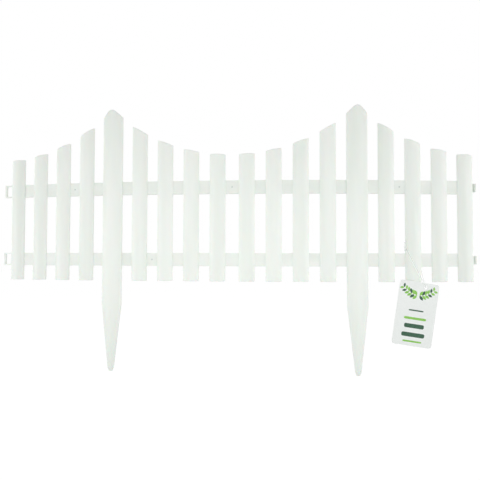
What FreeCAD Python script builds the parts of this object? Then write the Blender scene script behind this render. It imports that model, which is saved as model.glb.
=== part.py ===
"""Garden picket fence panel in white moulded plastic, flexed into a gentle bow.

Sixteen arched pickets and two spiked posts stand in front of two channel rails.
The picket tops follow a scallop that hangs between the posts. The left end of each
rail carries a loop and the right end a hook, so that panels couple end to end.
A swing tag hangs from a nylon tie on the second picket outside the right post.

Millimetres. +X runs from the loop end to the hook end, the front faces -Y, +Z is up.
The origin is the centre of the flat tip of the left post's spike.

Each upright is drawn flat, with its back at y = 0 and its front at negative y, and is
then set on the bow at its own arc length. The bow's centre lies behind the panel.
"""

import FreeCAD, Part
import math
import os

from FreeCAD import Placement, Rotation, Vector

# Panel layout, as arc lengths along the rails from mid-panel
bow_radius = 1726.0
post_spacing = 300.0
post_to_picket = 35.0
middle_pitch = 35.4
pickets_per_side = 4

# Heights above the spike tips
spike_shoulder_height = 82.0
picket_foot_height = 110.6
lower_rail_height = 136.8
rail_spacing = 88.0
post_height = 322.5

# Scallop that the picket tops follow
scallop_low_height = 264.1
scallop_radius = 218.0

# Picket section
picket_width = 19.3
picket_depth = 5.4
picket_crown_radius = 14.0
picket_shoulder_radius = 1.0
picket_wall = 1.5

# Post section
post_width = 25.3
post_depth = 7.4
post_crown_radius = 18.0
post_shoulder_radius = 1.2
post_wall = 1.8
gable_angle = 42.0
ridge_radius = 7.0

# Spike, with the shares of its width and depth that its back pocket takes
point_height = 4.0
point_width = 7.0
point_depth = 4.6
tip_width = 4.0
tip_depth = 3.0
pocket_foot_height = 30.0
pocket_width_share = 0.63
pocket_depth_share = 0.53

# Softened outer edges and inner stiffening ribs
edge_chamfer = 0.5
rib_thickness = 1.3
rib_spacing = 40.0
rib_setback = 1.2

# Rails, let a little into the uprights' backs
rail_height = 16.0
rail_depth = 4.5
rail_lap = 0.8
rail_web = 1.8
rail_flange = 1.4
rail_end_wall = 1.6

# Coupling loops and hooks
loop_length = 11.0
loop_bar = 2.4
hook_length = 4.8
hook_height = 10.0
hook_neck = 1.8
hook_lip = 1.6
coupling_clearance = 0.3

# Swing tag on the second picket outside the right post, and the tie that holds it
tag_width = 48.0
tag_height = 76.0
tag_thickness = 0.5
tag_corner_radius = 3.5
tag_hole_radius = 2.0
tag_hole_from_side = 16.0
tag_hole_from_top = 5.5
tag_hole_beside_picket = 3.1
tag_hole_below_picket = 6.6
tag_lean_angle = 8.8
tag_gap = 0.3
tie_radius = 0.4
tie_sides = 6
tie_clearance = 1.0
tie_lock_width = 2.2
tie_lock_height = 11.0
tie_lock_chamfer = 0.5
tie_rise = 8.0
tie_bend_share = 0.45

# Worked out from the sizes above
upper_rail_height = lower_rail_height + rail_spacing
post_station = post_spacing / 2
picket_pitch = (post_station - post_to_picket - middle_pitch / 2) / (pickets_per_side - 1)
side_span = (pickets_per_side - 1) * picket_pitch
rail_end_station = post_station + post_to_picket + side_span + picket_width / 2
loop_bar_depth = rail_depth - hook_neck - coupling_clearance
rail_back = rail_depth - rail_lap
tag_station = post_station + post_to_picket + picket_pitch
tag_hole = Vector(picket_width / 2 + tag_hole_beside_picket, -picket_depth - tag_gap,
                  picket_foot_height - tag_hole_below_picket)
tall = 2 * post_height
up = Vector(0, 0, 1)
rearward = Vector(0, 1, 0)


def on_bow(station):
    """Placement of a piece whose own origin sits on the bow at this arc length."""
    turn = station / bow_radius
    foot = Vector(bow_radius * math.sin(turn), bow_radius * (1 - math.cos(turn)), 0)
    return Placement(foot, Rotation(up, math.degrees(turn)))


def along_bow(outline, start, end):
    """Solid swept along the bow between two arc lengths from a closed (y, z) outline."""
    points = [Vector(0, y, z) for y, z in outline]
    face = Part.Face(Part.makePolygon(points + points[:1]))
    centre = Vector(0, bow_radius, 0)
    face.rotate(centre, up, math.degrees(start / bow_radius))
    return face.revolve(centre, up, math.degrees((end - start) / bow_radius))


def bar_along_bow(start, end, front, back, low, high):
    """Square-edged bar swept along the bow."""
    return along_bow([(front, low), (back, low), (back, high), (front, high)], start, end)


def crown_spring(half_width, depth, crown_radius):
    """Where a crown arc of this depth meets straight sides this far from the middle."""
    return crown_radius - depth - math.sqrt(crown_radius ** 2 - half_width ** 2)


def arched_wire(width, depth, crown_radius, shoulder_radius, height):
    """Upright's outline from above: flat back, straight sides, round shoulders and a crown."""
    across = width / 2 - shoulder_radius
    shoulder_y = crown_spring(across, depth - shoulder_radius, crown_radius - shoulder_radius)
    lean = math.atan2(across, crown_radius - depth - shoulder_y)

    def shoulder(side, angle):
        return Vector(side * (across + shoulder_radius * math.sin(angle)),
                      shoulder_y - shoulder_radius * math.cos(angle), height)

    edges = []
    for side in (-1, 1):
        spring = shoulder(side, math.pi / 2)
        middle = shoulder(side, (lean + math.pi / 2) / 2)
        join = shoulder(side, lean)
        edges.append(Part.LineSegment(Vector(side * width / 2, 0, height), spring).toShape())
        edges.append(Part.Arc(spring, middle, join).toShape())
    crown = Part.Arc(shoulder(-1, lean), Vector(0, -depth, height), shoulder(1, lean)).toShape()
    back = Part.LineSegment(Vector(width / 2, 0, height), Vector(-width / 2, 0, height)).toShape()
    return Part.Wire(Part.__sortEdges__(edges + [crown, back]))


def hollow_wire(width, depth, crown_radius, wall, height):
    """Outline of the hollow behind the walls: open back, straight sides and a crown."""
    half = width / 2 - wall
    spring_y = crown_spring(half, depth - wall, crown_radius - wall)
    corners = [Vector(-half, spring_y, height), Vector(-half, 0, height),
               Vector(half, 0, height), Vector(half, spring_y, height)]
    edges = [Part.LineSegment(a, b).toShape() for a, b in zip(corners, corners[1:])]
    edges.append(Part.Arc(corners[3], Vector(0, wall - depth, height), corners[0]).toShape())
    return Part.Wire(edges)


def below_line(x, height, slope):
    """Everything below a line that rises to +X at this slope, through (x, height)."""
    corners = [(x - tall, height - tall * slope), (x + tall, height + tall * slope),
               (x + tall, -2 * tall), (x - tall, -2 * tall)]
    points = [Vector(cx, tall, cz) for cx, cz in corners]
    return Part.Face(Part.makePolygon(points + points[:1])).extrude(Vector(0, -2 * tall, 0))


def ribs(width, depth, foot, top):
    """Cross ribs of a hollow upright, evenly spaced below, between and above the rails."""
    half_rail = rail_height / 2
    stops = [foot, lower_rail_height - half_rail, lower_rail_height + half_rail,
             upper_rail_height - half_rail, upper_rail_height + half_rail, top]
    slabs = []
    for low, high in zip(stops[::2], stops[1::2]):
        bays = max(1, math.ceil((high - low) / rib_spacing))
        for step in range(1, bays):
            middle = low + (high - low) * step / bays
            corner = Vector(-width / 2, -depth - rib_setback, middle - rib_thickness / 2)
            slabs.append(Part.makeBox(width, depth, rib_thickness, corner))
    return Part.makeCompound(slabs)


def rail_seat(station, width):
    """What both rails take out of an upright that stands at this station."""
    reach = width / 2 + 1
    place = on_bow(station).inverse()
    seats = []
    for centre in (lower_rail_height, upper_rail_height):
        seat = bar_along_bow(station - reach, station + reach, -rail_lap, 1,
                             centre - rail_height / 2, centre + rail_height / 2)
        seat.Placement = place.multiply(seat.Placement)
        seats.append(seat)
    return Part.makeCompound(seats)


def outer_edges(solid, on_end):
    """Edges that lie on an end of an upright, apart from those at its back."""
    edges = []
    for edge in solid.Edges:
        points = [vertex.Point for vertex in edge.Vertexes]
        at_back = all(abs(point.y) < 1e-6 for point in points)
        if all(on_end(point) for point in points) and not at_back:
            edges.append(edge)
    return edges


def ridge_seam(edge):
    """Whether an edge is where a gable's slope runs smoothly into its rounded ridge."""
    first, last = edge.Vertexes[0].Point, edge.Vertexes[-1].Point
    return abs(first.x - last.x) < 1e-6 and abs(first.x) < post_width / 2 - 1e-6


def top_cut(station):
    """Height at a picket's centre, and slope, of its straight-cut top.

    The cut lies along the scallop's tangent at the lower corner of the top.
    """
    low_station = 0.0 if abs(station) < post_station else post_spacing
    lower_corner = abs(abs(station) - low_station) - picket_width / 2
    drop = math.sqrt(scallop_radius ** 2 - lower_corner ** 2)
    slope = lower_corner / drop
    height = scallop_low_height + scallop_radius - drop + slope * picket_width / 2
    rises_to_right = (station > 0) == (abs(station) < post_station)
    return height, slope if rises_to_right else -slope


def picket(station):
    """Hollow arched picket with a slanted top, ribbed inside and notched over the rails."""
    height, slope = top_cut(station)
    length = Vector(0, 0, tall)
    outline = arched_wire(picket_width, picket_depth, picket_crown_radius,
                          picket_shoulder_radius, picket_foot_height)
    body = Part.Face(outline).extrude(length).common(below_line(0, height, slope))
    body = body.makeChamfer(edge_chamfer, outer_edges(
        body, lambda point: abs(point.z - height - slope * point.x) < 1e-6))
    body = body.makeChamfer(edge_chamfer, outer_edges(
        body, lambda point: abs(point.z - picket_foot_height) < 1e-6))
    floor = picket_foot_height + picket_wall
    ceiling = height - picket_wall * math.sqrt(1 + slope ** 2)
    hollow = Part.Face(hollow_wire(picket_width, picket_depth, picket_crown_radius,
                                   picket_wall, floor)).extrude(length)
    hollow = hollow.common(below_line(0, ceiling, slope))
    hollow = hollow.cut(ribs(picket_width, picket_depth, floor, ceiling))
    return body.cut(hollow).cut(rail_seat(station, picket_width))


def spike_size(height):
    """Width, depth and crown radius of the spike at this height."""
    share = (height - point_height) / (spike_shoulder_height - point_height)
    width = point_width + (post_width - point_width) * share
    depth = point_depth + (post_depth - point_depth) * share
    return width, depth, post_crown_radius * width / post_width


def spike_loft(heights, draw):
    """Ruled loft through the sections that draw(width, depth, crown, height) makes."""
    return Part.makeLoft([draw(*spike_size(height), height) for height in heights], True, True)


def spike():
    """Spike below the post's straight shaft, ending in a blunt point with a flat tip."""

    def section(width, depth, crown, height):
        return arched_wire(width, depth, crown, post_shoulder_radius * width / post_width, height)

    taper = spike_loft([point_height, spike_shoulder_height], section)
    crown = spike_size(point_height)[2]
    point = Part.makeLoft([section(tip_width, tip_depth, crown, 0),
                           section(point_width, point_depth, crown, point_height)], True, True)
    return taper.fuse(point)


def spike_pocket():
    """Flat-walled hollow at the back of the spike, which narrows with it."""

    def section(width, depth, crown, height):
        half, front = width * pocket_width_share / 2, -depth * pocket_depth_share
        corners = [Vector(-half, 0, height), Vector(half, 0, height),
                   Vector(half, front, height), Vector(-half, front, height)]
        return Part.makePolygon(corners + corners[:1])

    return spike_loft([pocket_foot_height, spike_shoulder_height], section)


def post(station):
    """Post with a gabled head, a hollow ribbed shaft and a spike."""
    pitch = math.tan(math.radians(gable_angle))
    steepness = math.sqrt(1 + pitch ** 2)
    apex = post_height + ridge_radius * (steepness - 1)
    length = Vector(0, 0, apex)
    outline = arched_wire(post_width, post_depth, post_crown_radius, post_shoulder_radius,
                          spike_shoulder_height)
    gable = below_line(0, apex, pitch).common(below_line(0, apex, -pitch))
    shaft = Part.Face(outline).extrude(length).common(gable)
    ridge = [edge for edge in shaft.Edges
             if all(abs(vertex.Z - apex) < 1e-6 for vertex in edge.Vertexes)]
    shaft = shaft.makeFillet(ridge_radius, ridge)
    rim = outer_edges(shaft, lambda point: abs(point.z - apex + pitch * abs(point.x)) < 1e-6)
    shaft = shaft.makeChamfer(edge_chamfer, [edge for edge in rim if not ridge_seam(edge)])
    body = shaft.fuse(spike()).removeSplitter()
    hollow = Part.Face(hollow_wire(post_width, post_depth, post_crown_radius, post_wall,
                                   spike_shoulder_height)).extrude(length)
    ceiling = apex - post_wall * steepness
    for slope in (pitch, -pitch):
        hollow = hollow.common(below_line(0, ceiling, slope))
    hollow = hollow.fuse(spike_pocket())
    hollow = hollow.cut(ribs(post_width, post_depth, pocket_foot_height, ceiling))
    return body.cut(hollow).cut(rail_seat(station, post_width))


def rail(centre):
    """Channel rail, open at the back and closed at both ends."""
    low, high = centre - rail_height / 2, centre + rail_height / 2
    inner_end = rail_end_station - rail_end_wall
    bar = bar_along_bow(-rail_end_station, rail_end_station, -rail_lap, rail_back, low, high)
    channel = bar_along_bow(-inner_end, inner_end, rail_web - rail_lap, rail_back + 1,
                            low + rail_flange, high - rail_flange)
    return bar.cut(channel)


def loop(centre):
    """Rectangular eye on the left end of a rail: two arms and an end bar set forward."""
    low, high = centre - rail_height / 2, centre + rail_height / 2
    outer_end = -rail_end_station - loop_length
    arms = [bar_along_bow(outer_end, -rail_end_station, -rail_lap, rail_back, edge, edge + rail_flange)
            for edge in (low, high - rail_flange)]
    bar = bar_along_bow(outer_end, outer_end + loop_bar, -rail_lap, loop_bar_depth - rail_lap,
                        low, high)
    return bar.fuse(arms).removeSplitter()


def hook(centre):
    """Hook on the right end of a rail: a neck along the back and a lip turned forward."""
    low, high = centre - hook_height / 2, centre + hook_height / 2
    outer_end = rail_end_station + hook_length
    neck = bar_along_bow(rail_end_station, outer_end, rail_back - hook_neck, rail_back, low, high)
    lip = bar_along_bow(outer_end - hook_lip, outer_end, -rail_lap, rail_back, low, high)
    return neck.fuse(lip).removeSplitter()


def swing_tag():
    """Card with rounded corners, turned about its hole so that it leans to the right."""
    corner = Vector(tag_hole_from_side - tag_width, -tag_thickness, tag_hole_from_top - tag_height)
    card = Part.makeBox(tag_width, tag_thickness, tag_height, corner)
    corners = [edge for edge in card.Edges if edge.tangentAt(0).cross(rearward).Length < 1e-6]
    card = card.makeFillet(tag_corner_radius, corners)
    card = card.cut(Part.makeCylinder(tag_hole_radius, 4 * tag_thickness,
                                      Vector(0, -2 * tag_thickness, 0), rearward))
    card.Placement = Placement(tag_hole, Rotation(rearward, tag_lean_angle))
    return card


def tie_route():
    """Corners of the tie's path: from the lock, over the picket's front, through the tag's
    hole, up behind the lower rail and round the picket's back to the lock.
    """
    beside = picket_width / 2 + tie_clearance
    front = -picket_depth - tie_clearance
    back = rail_back + tie_clearance
    over_rail = lower_rail_height + rail_height / 2
    under_rail = lower_rail_height - rail_height / 2
    lock = Vector(-beside, -picket_depth / 2, over_rail + tie_rise)
    return [lock,
            Vector(-beside, front, over_rail + tie_rise - 3 * tie_clearance),
            Vector(tag_hole.x, front - tie_clearance, tag_hole.z),
            Vector(tag_hole.x, front + 2 * tie_clearance, tag_hole.z),
            Vector(beside + tie_clearance, back, under_rail - 4 * tie_clearance),
            Vector(beside - 2 * tie_clearance, back, over_rail + 3 * tie_clearance),
            Vector(-beside, back - 3 * tie_clearance, over_rail + tie_rise),
            lock]


def rounded_path(route):
    """Wire of straight runs joined by tangent arcs, each as large as its runs allow."""
    edges = []
    start = route[0]
    for before, corner, after in zip(route, route[1:], route[2:]):
        inward, onward = before - corner, after - corner
        reach = tie_bend_share * min(inward.Length, onward.Length)
        half = inward.getAngle(onward) / 2
        first, last = corner + inward.normalize() * reach, corner + onward.normalize() * reach
        to_middle = (first + last - corner * 2).normalize()
        middle = corner + to_middle * (reach / math.cos(half) - reach * math.tan(half))
        edges += [Part.LineSegment(start, first).toShape(), Part.Arc(first, middle, last).toShape()]
        start = last
    edges.append(Part.LineSegment(start, route[-1]).toShape())
    return Part.Wire(edges)


def tie():
    """Nylon thread whose two ends meet in a small upright lock beside the picket."""
    route = tie_route()
    turn = Rotation(up, route[1] - route[0])
    ring = [math.radians(360 * side / tie_sides) for side in range(tie_sides + 1)]
    rim = [route[0] + turn.multVec(Vector(math.cos(a), math.sin(a), 0)) * tie_radius for a in ring]
    thread = rounded_path(route).makePipeShell([Part.makePolygon(rim)], True, False)
    half = tie_lock_width / 2
    lock = Part.makeBox(tie_lock_width, tie_lock_width, tie_lock_height,
                        route[0] - Vector(half, half, tie_lock_height / 2))
    lock = lock.makeChamfer(tie_lock_chamfer, lock.Edges)
    return thread.fuse(lock).removeSplitter()


def picket_stations():
    """Arc lengths of the pickets from left to right."""
    right = [first + step * picket_pitch
             for first in (middle_pitch / 2, post_station + post_to_picket)
             for step in range(pickets_per_side)]
    return [-station for station in reversed(right)] + right


def build():
    """Every named piece, in the frame whose origin is the left spike's tip."""
    stations = picket_stations()
    placed = {f"picket_{number:02d}": (picket(station), on_bow(station))
              for number, station in enumerate(stations, 1)}
    for name, station in (("left_post", -post_station), ("right_post", post_station)):
        placed[name] = (post(station), on_bow(station))
    for level, centre in (("lower", lower_rail_height), ("upper", upper_rail_height)):
        placed[f"{level}_rail"] = (rail(centre), Placement())
        placed[f"{level}_loop"] = (loop(centre), Placement())
        placed[f"{level}_hook"] = (hook(centre), Placement())
    placed["swing_tag"] = (swing_tag(), on_bow(tag_station))
    placed["tag_tie"] = (tie(), on_bow(tag_station))
    tip = on_bow(-post_station).multVec(Vector(0, -tip_depth / 2, 0))
    pieces = {}
    for name, (shape, place) in placed.items():
        solid = shape.copy()
        solid.Placement = place.multiply(solid.Placement)
        solid.translate(-tip)
        pieces[name] = solid
    return pieces


def main():
    """Write one STEP file per piece and print what each one measures."""
    os.makedirs("parts", exist_ok=True)
    for name, shape in build().items():
        shape.exportStep(f"parts/{name}.step")
        box = shape.BoundBox
        print(f"{name:12s} solids {len(shape.Solids)} valid {shape.isValid()}"
              f" volume {shape.Volume / 1000:.2f} cm3"
              f" x {box.XMin:.1f}..{box.XMax:.1f} y {box.YMin:.1f}..{box.YMax:.1f}"
              f" z {box.ZMin:.1f}..{box.ZMax:.1f}")


main()
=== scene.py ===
"""Looks of a white garden picket fence panel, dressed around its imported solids.

Every solid keeps its own mesh: the moulded pieces, the swing tag and its tie each get
their finish. The scene adds the gate marks that moulding leaves on the rails, and the
print on the tag. Lengths are metres in the panel's own frame: +X runs from the loop end
to the hook end, the front faces -Y and +Z is up.
"""

import logging
import math
from collections.abc import Sequence
from dataclasses import dataclass
from enum import Enum

import bmesh
import bpy
import numpy as np
from mathutils import Euler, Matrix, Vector

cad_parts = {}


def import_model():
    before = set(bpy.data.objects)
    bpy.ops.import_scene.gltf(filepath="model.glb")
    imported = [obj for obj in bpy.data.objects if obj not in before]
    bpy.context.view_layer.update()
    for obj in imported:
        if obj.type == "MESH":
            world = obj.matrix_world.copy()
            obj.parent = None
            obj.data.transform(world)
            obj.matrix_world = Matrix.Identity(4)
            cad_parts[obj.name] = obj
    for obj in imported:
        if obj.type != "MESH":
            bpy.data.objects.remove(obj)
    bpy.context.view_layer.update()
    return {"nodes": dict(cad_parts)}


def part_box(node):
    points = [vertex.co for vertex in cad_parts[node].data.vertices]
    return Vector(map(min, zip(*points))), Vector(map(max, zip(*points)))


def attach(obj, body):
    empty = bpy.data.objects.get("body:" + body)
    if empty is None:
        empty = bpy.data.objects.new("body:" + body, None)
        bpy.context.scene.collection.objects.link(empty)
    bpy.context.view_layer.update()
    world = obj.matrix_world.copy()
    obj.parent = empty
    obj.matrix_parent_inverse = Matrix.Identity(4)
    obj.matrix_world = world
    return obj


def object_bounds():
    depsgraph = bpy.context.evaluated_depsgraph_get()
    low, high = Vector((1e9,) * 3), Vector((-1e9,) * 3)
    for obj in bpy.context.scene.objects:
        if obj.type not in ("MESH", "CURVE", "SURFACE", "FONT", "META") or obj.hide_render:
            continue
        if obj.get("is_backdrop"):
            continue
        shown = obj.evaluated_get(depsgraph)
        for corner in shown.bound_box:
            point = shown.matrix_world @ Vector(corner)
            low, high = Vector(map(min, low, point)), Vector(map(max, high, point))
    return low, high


# In metres: a millimetre, how near doubled vertices lie, and how far in front a ray starts
MM = 0.001
WELD = 1e-7
STANDOFF = 1.0
log = logging.getLogger("picket_panel")


def linear(hex_colour: str) -> tuple[float, float, float, float]:
    """Turn an sRGB hex colour into linear light.

    Args:
        hex_colour: six hex digits after a hash sign.

    Returns:
        Red, green, blue and an alpha of one, as Blender's sockets take them.
    """
    values = [int(hex_colour[i:i + 2], 16) / 255 for i in (1, 3, 5)]
    light = [v / 12.92 if v <= 0.04045 else ((v + 0.055) / 1.055) ** 2.4 for v in values]
    return (*light, 1.0)


def add_node(tree: bpy.types.NodeTree, kind: str, sockets: dict | None = None,
             **settings: object) -> bpy.types.Node:
    """Add a shader node with its settings, values and links.

    Args:
        tree: the node tree that takes the node.
        kind: the node's class name.
        sockets: input name or number to a value, or to the output that feeds it.
        settings: attributes of the node itself.

    Returns:
        The new node.
    """
    node = tree.nodes.new(kind)
    for name, value in settings.items():
        setattr(node, name, value)
    for socket, source in (sockets or {}).items():
        if isinstance(source, bpy.types.NodeSocket):
            tree.links.new(source, node.inputs[socket])
        else:
            node.inputs[socket].default_value = source
    return node


def new_material(name: str) -> tuple[bpy.types.Material, bpy.types.NodeTree]:
    """Make an empty node material.

    Args:
        name: the material's name.

    Returns:
        The material and its cleared node tree.
    """
    material = bpy.data.materials.new(name)
    material.use_nodes = True
    material.node_tree.nodes.clear()
    return material, material.node_tree


def stretched_noise(tree: bpy.types.NodeTree, grain: tuple[float, float, float], detail: float,
                    roughness: float = 0.5) -> bpy.types.NodeSocket:
    """Noise on object coordinates whose blobs measure about the given sizes.

    Args:
        tree: the material's node tree.
        grain: blob size in millimetres along X, Y and Z.
        detail: number of finer octaves.
        roughness: strength of each finer octave.

    Returns:
        The noise's Fac output.
    """
    place = add_node(tree, "ShaderNodeTexCoord")
    scale = tuple(1 / (size * MM) for size in grain)
    mapping = add_node(tree, "ShaderNodeMapping", {"Vector": place.outputs["Object"], "Scale": scale})
    noise = add_node(tree, "ShaderNodeTexNoise", {
        "Vector": mapping.outputs["Vector"], "Scale": 1.0, "Detail": detail, "Roughness": roughness})
    return noise.outputs["Fac"]


def between(tree: bpy.types.NodeTree, factor: bpy.types.NodeSocket, low: str,
            high: str) -> bpy.types.NodeSocket:
    """Blend two colours by a factor.

    Args:
        tree: the material's node tree.
        factor: 0 gives the first colour and 1 the second.
        low: hex colour at 0.
        high: hex colour at 1.

    Returns:
        The blended colour's output.
    """
    # Inputs 6 and 7 of this node are its two colours, and output 2 is their blend
    mix = add_node(tree, "ShaderNodeMix", {0: factor, 6: linear(low), 7: linear(high)},
                   data_type="RGBA")
    return mix.outputs[2]


def spread(tree: bpy.types.NodeTree, factor: bpy.types.NodeSocket, low: float = 0.0,
           high: float = 1.0) -> bpy.types.NodeSocket:
    """Stretch a noise's middle band over a range.

    Args:
        tree: the material's node tree.
        factor: the noise, whose values lie mostly between 0.3 and 0.7.
        low: value given at 0.3.
        high: value given at 0.7.

    Returns:
        The stretched value's output.
    """
    ramp = add_node(tree, "ShaderNodeMapRange", {
        "Value": factor, "From Min": 0.3, "From Max": 0.7, "To Min": low, "To Max": high})
    return ramp.outputs["Result"]


class Flow(Enum):
    """Direction in which the melt ran through a part of the mould, and the pieces there."""

    UPRIGHT = (14.0, 14.0, 150.0), ("picket", "post")
    ALONG_RAIL = (150.0, 14.0, 14.0), ("rail", "loop", "hook")

    @property
    def grain(self) -> tuple[float, float, float]:
        """Size of a cloud in millimetres along X, Y and Z."""
        return self.value[0]

    @property
    def pieces(self) -> tuple[str, ...]:
        """Words that start or end the names of the pieces."""
        return self.value[1]


@dataclass(frozen=True)
class MouldedPolypropylene:
    """White polypropylene, injection moulded against a finely spark-eroded steel.

    The eye gets a satin white with a trace of green, faint long clouds where the melt
    ran, and a matt grain that breaks up the highlights.
    """

    name: str = "white_polypropylene"
    body: str = "#EFF3EE"
    cloud: str = "#E8EEE7"
    roughness: tuple[float, float] = (0.38, 0.5)
    grain_mm: float = 0.7
    grain_depth_mm: float = 0.02
    grain_strength: float = 0.35
    translucence: float = 0.12
    translucence_mm: float = 1.5
    ior: float = 1.49

    def material(self, flow: Flow) -> bpy.types.Material:
        """Build the finish for one flow direction.

        Args:
            flow: the direction that the clouds are drawn out along.

        Returns:
            The material.
        """
        material, tree = new_material(f"{self.name}_{flow.name.lower()}")
        clouds = stretched_noise(tree, flow.grain, detail=3.0)
        colour = between(tree, spread(tree, clouds), self.body, self.cloud)
        half_grain = tuple(size / 2 for size in flow.grain)
        sheen_patches = stretched_noise(tree, half_grain, detail=4.0, roughness=0.6)
        roughness = spread(tree, sheen_patches, *self.roughness)
        # The real grain is about 0.1 mm and is drawn coarser so that it shows
        grain = stretched_noise(tree, (self.grain_mm,) * 3, detail=2.0)
        bump = add_node(tree, "ShaderNodeBump", {
            "Strength": self.grain_strength, "Distance": self.grain_depth_mm * MM, "Height": grain})
        shader = add_node(tree, "ShaderNodeBsdfPrincipled", {
            "Base Color": colour, "Roughness": roughness, "Normal": bump.outputs["Normal"],
            "IOR": self.ior, "Subsurface Weight": self.translucence,
            "Subsurface Scale": self.translucence_mm * MM})
        add_node(tree, "ShaderNodeOutputMaterial", {"Surface": shader.outputs["BSDF"]})
        return material


@dataclass(frozen=True)
class ShadedGateScar:
    """Polypropylene torn off at an injection gate, duller than the skin. Its grey is painted shade
    round the nub, in torn patches that vary at random.
    """

    name: str = "gate_scar_painted_shade"
    # Both greys are painted shade: darker than the skin so that the gate marks read as dark dots
    light: str = "#D8DFDA"
    dark: str = "#CBD3CE"
    torn_mm: float = 0.5
    roughness: float = 0.6
    ior: float = 1.49

    def material(self) -> bpy.types.Material:
        """Build the finish.

        Returns:
            The material.
        """
        material, tree = new_material(self.name)
        torn = stretched_noise(tree, (self.torn_mm,) * 3, detail=3.0, roughness=0.6)
        # The base colour is painted shade, broken up into the torn patches
        shader = add_node(tree, "ShaderNodeBsdfPrincipled", {
            "Base Color": between(tree, spread(tree, torn), self.light, self.dark),
            "Roughness": self.roughness, "IOR": self.ior})
        add_node(tree, "ShaderNodeOutputMaterial", {"Surface": shader.outputs["BSDF"]})
        return material


@dataclass(frozen=True)
class CoatedCard:
    """Coated white card, cut with a die: smooth and faintly glossy, with a trace of fibre."""

    name: str = "coated_card"
    sheet: str = "#EFF2F0"
    fibre: str = "#E7EBE8"
    fibre_mm: float = 1.2
    fibre_depth_mm: float = 0.01
    fibre_strength: float = 0.2
    roughness: float = 0.45
    ior: float = 1.5

    def material(self) -> bpy.types.Material:
        """Build the finish.

        Returns:
            The material.
        """
        material, tree = new_material(self.name)
        fibres = stretched_noise(tree, (self.fibre_mm,) * 3, detail=5.0, roughness=0.65)
        bump = add_node(tree, "ShaderNodeBump", {
            "Strength": self.fibre_strength, "Distance": self.fibre_depth_mm * MM, "Height": fibres})
        shader = add_node(tree, "ShaderNodeBsdfPrincipled", {
            "Base Color": between(tree, spread(tree, fibres), self.sheet, self.fibre),
            "Roughness": self.roughness, "Normal": bump.outputs["Normal"], "IOR": self.ior})
        add_node(tree, "ShaderNodeOutputMaterial", {"Surface": shader.outputs["BSDF"]})
        return material


@dataclass(frozen=True)
class PrintingInk:
    """Offset ink on coated card: an even film whose tone wanders a little from place to place."""

    name: str
    full: str
    worn: str
    patch_mm: float = 2.5
    roughness: float = 0.5
    ior: float = 1.5

    def material(self) -> bpy.types.Material:
        """Build the finish.

        Returns:
            The material.
        """
        material, tree = new_material(self.name)
        patches = stretched_noise(tree, (self.patch_mm,) * 3, detail=3.0)
        shader = add_node(tree, "ShaderNodeBsdfPrincipled", {
            "Base Color": between(tree, spread(tree, patches), self.full, self.worn),
            "Roughness": self.roughness, "IOR": self.ior})
        add_node(tree, "ShaderNodeOutputMaterial", {"Surface": shader.outputs["BSDF"]})
        return material


@dataclass(frozen=True)
class DrawnNylon:
    """Clear nylon, drawn to a thread and moulded: mostly what lies behind it, a little greyed."""

    name: str = "drawn_nylon"
    body: str = "#F6F9F7"
    streak: str = "#E6ECE8"
    streak_mm: tuple[float, float, float] = (0.6, 0.6, 3.0)
    shown: float = 0.35
    roughness: float = 0.3
    ior: float = 1.53

    def material(self) -> bpy.types.Material:
        """Build the finish.

        Returns:
            The material.
        """
        material, tree = new_material(self.name)
        streaks = stretched_noise(tree, self.streak_mm, detail=2.0)
        shader = add_node(tree, "ShaderNodeBsdfPrincipled", {
            "Base Color": between(tree, spread(tree, streaks), self.body, self.streak),
            "Roughness": self.roughness, "IOR": self.ior, "Alpha": self.shown})
        add_node(tree, "ShaderNodeOutputMaterial", {"Surface": shader.outputs["BSDF"]})
        return material


def grid_faces(rows: int, columns: int, wrap_rows: bool, wrap_columns: bool) -> np.ndarray:
    """Corner numbers of the quads of a grid whose vertices are stored row by row.

    A quad takes vertices (i, j), (i, j + 1), (i + 1, j + 1) and (i + 1, j), and the
    numbers wrap round where the surface closes on itself.

    Args:
        rows: number of vertex rows.
        columns: number of vertices in a row.
        wrap_rows: whether the last row joins the first.
        wrap_columns: whether a row's last vertex joins its first.

    Returns:
        An array of four vertex numbers per quad.
    """
    i = np.arange(rows if wrap_rows else rows - 1)[:, None]
    j = np.arange(columns if wrap_columns else columns - 1)[None, :]
    i_next, j_next = (i + 1) % rows, (j + 1) % columns
    corners = np.stack([i * columns + j, i * columns + j_next,
                        i_next * columns + j_next, i_next * columns + j], axis=-1)
    return corners.reshape(-1, 4)


def make_piece(name: str, points: np.ndarray, faces: np.ndarray,
               material: bpy.types.Material) -> bpy.types.Object:
    """Make a smooth mesh object, weld its doubled vertices and turn its faces outwards.

    Args:
        name: the piece's name.
        points: vertex positions in metres, any leading shape.
        faces: vertex numbers of the quads.
        material: the piece's finish.

    Returns:
        The object, at the origin and linked to the scene.
    """
    mesh = bpy.data.meshes.new(name)
    mesh.from_pydata(points.reshape(-1, 3), [], faces.tolist())
    shell = bmesh.new()
    shell.from_mesh(mesh)
    bmesh.ops.remove_doubles(shell, verts=shell.verts, dist=WELD)
    bmesh.ops.recalc_face_normals(shell, faces=shell.faces)
    shell.to_mesh(mesh)
    shell.free()
    mesh.polygons.foreach_set("use_smooth", np.full(len(mesh.polygons), True))
    mesh.materials.append(material)
    piece = bpy.data.objects.new(name, mesh)
    bpy.context.scene.collection.objects.link(piece)
    return piece


def surface_hit(node: bpy.types.Object, x: float, z: float) -> tuple[Vector, Vector]:
    """Find where a line along +Y, from well in front, first meets a node.

    Args:
        node: the solid's object.
        x: the line's X.
        z: the line's Z.

    Returns:
        The point and the outward normal there.
    """
    hit, point, normal, _ = node.ray_cast(Vector((x, -STANDOFF, z)), Vector((0.0, 1.0, 0.0)))
    if not hit:
        raise ValueError(f"nothing of {node.name} lies at x {x:.4f}, z {z:.4f}")
    return point, normal


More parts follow.
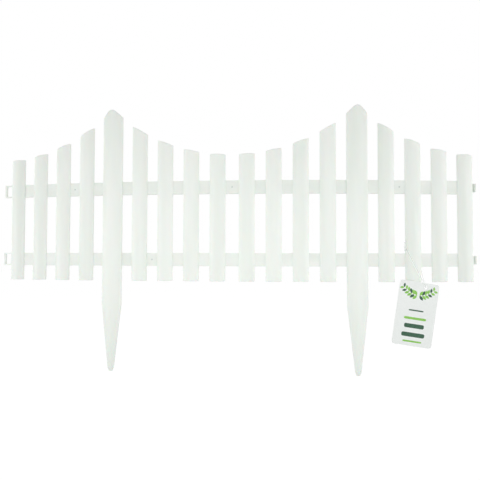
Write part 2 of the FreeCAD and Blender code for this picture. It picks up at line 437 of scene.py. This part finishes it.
def cover(node: bpy.types.Object, finish: bpy.types.Material) -> None:
    """Give a solid one finish all over.

    Args:
        node: the solid's object.
        finish: the material.
    """
    node.data.materials.clear()
    node.data.materials.append(finish)
    log.info("dressed %s with %s", node.name, finish.name)


def middle_x(*nodes: str) -> float:
    """Middle of the nodes' own middles along X."""
    return sum((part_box(name)[0].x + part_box(name)[1].x) / 2 for name in nodes) / len(nodes)


def middle_z(node: str) -> float:
    """Middle of a node's height."""
    low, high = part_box(node)
    return (low.z + high.z) / 2


@dataclass
class MouldedPanel:
    """The panel's solids: pickets, posts, rails, loops and hooks."""

    finish: MouldedPolypropylene = MouldedPolypropylene()

    def dress(self, nodes: dict[str, bpy.types.Object]) -> None:
        """Give every solid the moulded finish, with its clouds along the melt's flow.

        Args:
            nodes: node name to object, as the frame gives them.
        """
        for flow in Flow:
            finish = self.finish.material(flow)
            for name, node in nodes.items():
                if name.endswith(flow.pieces) or name.startswith(flow.pieces):
                    cover(node, finish)


@dataclass
class GateMarks:
    """Scars of the injection gates: small nubs in shallow rings on the rails' fronts."""

    nub_radius_mm: float = 0.6
    nub_height_mm: float = 0.3
    ring_radius_mm: float = 1.1
    ring_height_mm: float = 0.08
    sunk_mm: float = 0.3
    rings: int = 14
    segments: int = 28
    places: tuple[tuple[str, str, str], ...] = (
        ("upper_rail", "picket_03", "picket_04"),
        ("upper_rail", "picket_08", "picket_09"),
        ("upper_rail", "picket_13", "picket_14"),
        ("lower_rail", "picket_05", "picket_06"),
    )

    def profile(self) -> tuple[np.ndarray, np.ndarray]:
        """Radius and height of the scar's outline, from its pole to its sunken rim.

        The nub is a quarter ellipse, the ring round it half a sine wave, and the rim
        drops straight into the rail.

        Returns:
            Radii and heights in millimetres.
        """
        turn = np.linspace(0, math.pi / 2, self.rings)
        nub_r = self.nub_radius_mm * np.sin(turn)
        nub_h = self.nub_height_mm * np.cos(turn)
        share = np.linspace(0, 1, self.rings)[1:]
        ring_r = self.nub_radius_mm + (self.ring_radius_mm - self.nub_radius_mm) * share
        ring_h = self.ring_height_mm * np.sin(math.pi * share)
        radius = np.concatenate([nub_r, ring_r, [self.ring_radius_mm, 0.0]])
        height = np.concatenate([nub_h, ring_h, [-self.sunk_mm, -self.sunk_mm]])
        return radius, height

    def build(self, nodes: dict[str, bpy.types.Object]) -> None:
        """Revolve the profile at each place, square to the rail's front, into one piece.

        Args:
            nodes: node name to object, as the frame gives them.
        """
        radius, height = self.profile()
        turn = np.linspace(0, 2 * math.pi, self.segments, endpoint=False)
        count = len(radius) * self.segments
        points, faces = [], []
        for number, (rail, left, right) in enumerate(self.places):
            spot, normal = surface_hit(nodes[rail], middle_x(left, right), middle_z(rail))
            out = np.array(normal)
            up = np.array([0.0, 0.0, 1.0])
            side = np.cross(up, out)
            ring = (radius[:, None, None] * (np.cos(turn)[None, :, None] * side
                                             + np.sin(turn)[None, :, None] * up))
            points.append(np.array(spot) + (ring + height[:, None, None] * out) * MM)
            faces.append(grid_faces(len(radius), self.segments, False, True) + number * count)
        stacked = np.concatenate([p.reshape(-1, 3) for p in points])
        piece = make_piece("gate_marks", stacked, np.concatenate(faces), ShadedGateScar().material())
        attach(piece, "root")
        log.info("made %d gate marks", len(self.places))


@dataclass(frozen=True)
class CardFace:
    """The tag's front, whose origin is the card's lower left corner before it is rounded."""

    corner: np.ndarray
    right: np.ndarray
    up: np.ndarray
    out: np.ndarray

    def place(self, a: np.ndarray, b: np.ndarray, n: np.ndarray) -> np.ndarray:
        """Carry points of the card's front into the panel's frame.

        Args:
            a: millimetres right of the corner.
            b: millimetres above the corner.
            n: millimetres out of the front.

        Returns:
            Positions in metres, with a last axis of three.
        """
        return self.corner + (a[..., None] * self.right + b[..., None] * self.up
                              + n[..., None] * self.out) * MM


@dataclass(frozen=True)
class InkMark:
    """Where one printed mark lies on the card, in millimetres and degrees.

    Its base is measured right of and above the card's lower left corner.
    """

    right: float
    above: float
    length: float
    width: float
    turn: float = 0.0


class InkShape(Enum):
    """Outline of a printed mark, as two powers that bound its half width.

    With t from -1 at the base to 1 at the far end, the half width is
    (1 - |t| to the first power) to the second power.
    """

    LEAF = (1.7, 0.9)
    BAR = (24.0, 0.5)


@dataclass
class SwingTag:
    """The card on its nylon tie, with a printed garland and plain bars.

    A bar gives its left end, right of and above the card's lower left corner, its length
    and its width.
    """

    lean_degrees: float = 8.8
    ink_mm: float = 0.04
    end_steepness: float = 4.0
    sections: int = 25
    section_points: int = 16
    garland_middle: tuple[float, float] = (24.0, 60.0)
    garland_reach_mm: float = 18.0
    garland_sag_mm: float = 7.5
    leaf_pairs: int = 12
    leaf_mm: float = 7.0
    leaf_spread_degrees: float = 52.0
    leaf_shrink: float = 0.25
    leaf_width_share: float = 0.5
    bright_ink: PrintingInk = PrintingInk("bright_green_ink", "#7CBC45", "#92CA60")
    dark_ink: PrintingInk = PrintingInk("dark_green_ink", "#234A33", "#315E45")
    bright_bars: tuple[InkMark, ...] = (
        InkMark(10.5, 32.5, 27.0, 2.8),
        InkMark(12.5, 5.4, 23.0, 2.0),
    )
    dark_bars: tuple[InkMark, ...] = (
        InkMark(15.0, 42.0, 18.0, 1.6),
        InkMark(12.0, 23.6, 24.0, 5.0),
        InkMark(10.0, 13.2, 28.0, 5.0),
    )

    def face(self, card: bpy.types.Object) -> CardFace:
        """Find the card's front from its mesh.

        The front's normal gives the way out. The card's own right and up are level and
        upright turned by its lean, and its least reach along them gives the corner.

        Args:
            card: the card's object.

        Returns:
            The card's front.
        """
        low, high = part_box(card.name)
        normal = surface_hit(card, (low.x + high.x) / 2, (low.z + high.z) / 2)[1]
        out = np.array(normal)
        level = np.cross([0.0, 0.0, 1.0], out)
        lean = math.radians(self.lean_degrees)
        upright = np.array([0.0, 0.0, 1.0])
        right = math.cos(lean) * level - math.sin(lean) * upright
        up = math.cos(lean) * upright + math.sin(lean) * level
        flat = np.empty(3 * len(card.data.vertices))
        card.data.vertices.foreach_get("co", flat)
        spots = flat.reshape(-1, 3)
        left_end, foot, front = (spots @ right).min(), (spots @ up).min(), (spots @ out).max()
        corner = right * left_end + up * foot + out * front
        return CardFace(corner, right, up, out)

    def print_marks(self, face: CardFace, name: str, marks: Sequence[InkMark], shape: InkShape,
                    ink: PrintingInk) -> None:
        """Lay a film of ink on the card for a set of marks, as one piece.

        A mark is a flat spindle: its sections are ellipses as wide as the shape's outline
        and as high as the ink, centred on the card's face. Near its ends the height falls
        with the outline, so that they close to points.

        Args:
            face: the card's front.
            name: the piece's name.
            marks: the marks.
            shape: their outline.
            ink: their finish.
        """
        table = np.array([[m.right, m.above, m.length, m.width, math.radians(m.turn)] for m in marks])
        right, above, length, width, turn = table.T[..., None, None]
        t = -np.cos(np.linspace(0, math.pi, self.sections))[:, None]
        ring = np.linspace(0, 2 * math.pi, self.section_points, endpoint=False)
        first, second = shape.value
        bulge = (1 - np.abs(t) ** first) ** second
        forward = length * (t + 1) / 2
        sideways = width / 2 * bulge * np.cos(ring)
        lift = self.ink_mm * np.minimum(1, self.end_steepness * bulge) * np.sin(ring)
        a = right + forward * np.cos(turn) - sideways * np.sin(turn)
        b = above + forward * np.sin(turn) + sideways * np.cos(turn)
        one = grid_faces(self.sections, self.section_points, False, True)
        offsets = np.arange(len(marks))[:, None, None] * self.sections * self.section_points
        faces = (one + offsets).reshape(-1, 4)
        piece = make_piece(name, face.place(a, b, lift), faces, ink.material())
        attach(piece, "root")
        log.info("printed %s: %d marks", name, len(marks))

    def garland(self) -> tuple[list[InkMark], list[InkMark]]:
        """Two sprays of leaf pairs that hang across the card as one swag, below its hole.

        Along the swag, t runs from -1 to 1 and the stem rises by the square of t. Each
        pair leans out from the stem by the same angle on either side, away from the middle.
        Every third leaf is dark.

        Returns:
            The bright leaves and the dark leaves.
        """
        bright, dark = [], []
        middle, stem = self.garland_middle
        for step, t in enumerate(np.linspace(-1, 1, self.leaf_pairs)):
            slope = math.degrees(math.atan(2 * self.garland_sag_mm * t / self.garland_reach_mm))
            heading = slope if t > 0 else 180 + slope
            size = self.leaf_mm * (1 - self.leaf_shrink * abs(t))
            right, above = middle + self.garland_reach_mm * t, stem + self.garland_sag_mm * t ** 2
            for side in (-1, 1):
                mark = InkMark(right, above, size, size * self.leaf_width_share,
                               heading + side * self.leaf_spread_degrees)
                (bright if (2 * step + (side > 0)) % 3 else dark).append(mark)
        return bright, dark

    def dress(self, nodes: dict[str, bpy.types.Object]) -> None:
        """Give the card and the tie their finishes, and print the card.

        Args:
            nodes: node name to object, as the frame gives them.
        """
        cover(nodes["swing_tag"], CoatedCard().material())
        cover(nodes["tag_tie"], DrawnNylon().material())
        face = self.face(nodes["swing_tag"])
        inks = (self.bright_ink, self.dark_ink)
        prints = (("leaves", InkShape.LEAF, self.garland()),
                  ("bars", InkShape.BAR, (self.bright_bars, self.dark_bars)))
        for kind, shape, sets in prints:
            for ink, marks in zip(inks, sets):
                self.print_marks(face, f"swing_tag_{ink.name}_{kind}", marks, shape, ink)


@dataclass(frozen=True)
class SoftBox:
    """A pair of square soft boxes, one to each side of the panel's middle, that face it.

    Their places are metres from that middle: to either side, towards the camera and up.
    """

    aside: float
    ahead: float
    above: float
    size: float
    watts: float


@dataclass
class Studio:
    """A white studio: a pale floor, soft boxes to both sides, and the photograph's camera.

    The side pairs stand nearer to the panel's ends than to its middle, so an end picket's
    outer half is bright and its inner flank falls off, as in the photograph. A small pair
    low in front fills the middle, and a weak pair behind keeps the backs white.
    """

    camera_place: tuple[float, float, float] = (0.20374, -0.58183, 0.14052)
    camera_turn_degrees: float = 4.381
    camera_rise_degrees: float = 1.979
    camera_roll_degrees: float = 0.131
    focal_pixels: float = 480.0
    image_pixels: float = 480.0
    ambient: float = 0.5
    floor_half_width: float = 4.0
    floor_matt: str = "#F4F4F4"
    floor_shown: float = 1.06
    floor_shown_share: float = 0.9
    white: str = "#FFFFFF"
    lamps: tuple[SoftBox, ...] = (
        SoftBox(0.85, 0.5, 0.0, 0.3, 1.2),
        SoftBox(1.4, 0.3, 0.05, 0.4, 1.8),
        SoftBox(0.15, 0.42, -0.03, 0.2, 0.27),
        SoftBox(0.95, -0.55, 0.1, 0.5, 1.5),
    )

    def seen(self, tree: bpy.types.NodeTree) -> bpy.types.NodeSocket:
        """Tell the rays that look at the studio from those that light the panel.

        Args:
            tree: the node tree that asks.

        Returns:
            One for camera, glossy and transmission rays, and nought for the rest.
        """
        path = add_node(tree, "ShaderNodeLightPath")
        first = add_node(tree, "ShaderNodeMath", {
            0: path.outputs["Is Camera Ray"], 1: path.outputs["Is Glossy Ray"]}, operation="MAXIMUM")
        both = add_node(tree, "ShaderNodeMath", {
            0: first.outputs[0], 1: path.outputs["Is Transmission Ray"]}, operation="MAXIMUM")
        return both.outputs[0]

    def world(self) -> None:
        """White where it is looked at, and a plainer level where it lights the panel."""
        world = bpy.data.worlds.new("studio")
        world.use_nodes = True
        tree = world.node_tree
        tree.nodes.clear()
        white = linear(self.white)
        lit = add_node(tree, "ShaderNodeBackground", {"Color": white, "Strength": self.ambient})
        shown = add_node(tree, "ShaderNodeBackground", {"Color": white, "Strength": 1.0})
        mix = add_node(tree, "ShaderNodeMixShader", {
            0: self.seen(tree), 1: lit.outputs[0], 2: shown.outputs[0]})
        add_node(tree, "ShaderNodeOutputWorld", {"Surface": mix.outputs[0]})
        bpy.context.scene.world = world

    def floor(self) -> None:
        """A white floor at the spike tips that keeps a faint shadow.

        A small share of it is matt and takes the shadow. That share shows at about half, so
        the rest is set a little over one, to bring the open floor to plain white.
        """
        material, tree = new_material("studio_floor")
        shown = add_node(tree, "ShaderNodeEmission", {
            "Color": linear(self.white), "Strength": self.floor_shown})
        matt = add_node(tree, "ShaderNodeBsdfDiffuse", {"Color": linear(self.floor_matt)})
        share = add_node(tree, "ShaderNodeMath", {
            0: self.seen(tree), 1: self.floor_shown_share}, operation="MULTIPLY")
        mix = add_node(tree, "ShaderNodeMixShader", {
            0: share.outputs[0], 1: matt.outputs[0], 2: shown.outputs[0]})
        add_node(tree, "ShaderNodeOutputMaterial", {"Surface": mix.outputs[0]})
        half = self.floor_half_width
        mesh = bpy.data.meshes.new("floor")
        corners = [(-half, -half, 0), (half, -half, 0), (half, half, 0), (-half, half, 0)]
        mesh.from_pydata(corners, [], [(0, 1, 2, 3)])
        mesh.materials.append(material)
        floor = bpy.data.objects.new("floor", mesh)
        bpy.context.scene.collection.objects.link(floor)
        floor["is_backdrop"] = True

    def light(self, centre: Vector) -> None:
        """Set up the soft boxes, aimed at the panel's middle.

        Args:
            centre: the point that the lamps face.
        """
        for box in self.lamps:
            for side in (-1, 1):
                light = bpy.data.lights.new("soft_box", "AREA")
                light.shape = "SQUARE"
                light.size = box.size
                light.energy = box.watts
                lamp = bpy.data.objects.new("soft_box", light)
                lamp.location = centre + Vector((side * box.aside, -box.ahead, box.above))
                lamp.rotation_euler = (centre - lamp.location).to_track_quat("-Z", "Y").to_euler()
                bpy.context.scene.collection.objects.link(lamp)

    def camera(self) -> None:
        """The photograph's camera, as fitted to the panel's outline."""
        data = bpy.data.cameras.new("camera")
        data.lens = data.sensor_width * self.focal_pixels / self.image_pixels
        camera = bpy.data.objects.new("camera", data)
        camera.location = self.camera_place
        turn = Euler((math.radians(90 + self.camera_rise_degrees), 0.0,
                      math.radians(self.camera_turn_degrees)))
        roll = Euler((0.0, 0.0, math.radians(self.camera_roll_degrees)))
        camera.rotation_euler = (turn.to_matrix() @ roll.to_matrix()).to_euler()
        bpy.context.scene.collection.objects.link(camera)
        bpy.context.scene.camera = camera

    def build(self) -> None:
        """Set the world, floor, lamps and camera."""
        low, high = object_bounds()
        self.world()
        self.floor()
        self.light((low + high) / 2)
        self.camera()
        bpy.context.scene.view_settings.view_transform = "Standard"
        log.info("set the studio")


def main() -> None:
    """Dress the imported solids, add the small pieces, and set the studio round them."""
    logging.basicConfig(level=logging.INFO, format="%(name)s: %(message)s")
    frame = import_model()
    nodes = frame["nodes"]
    Studio().build()
    MouldedPanel().dress(nodes)
    GateMarks().build(nodes)
    SwingTag().dress(nodes)


if __name__ == "__main__":
    main()
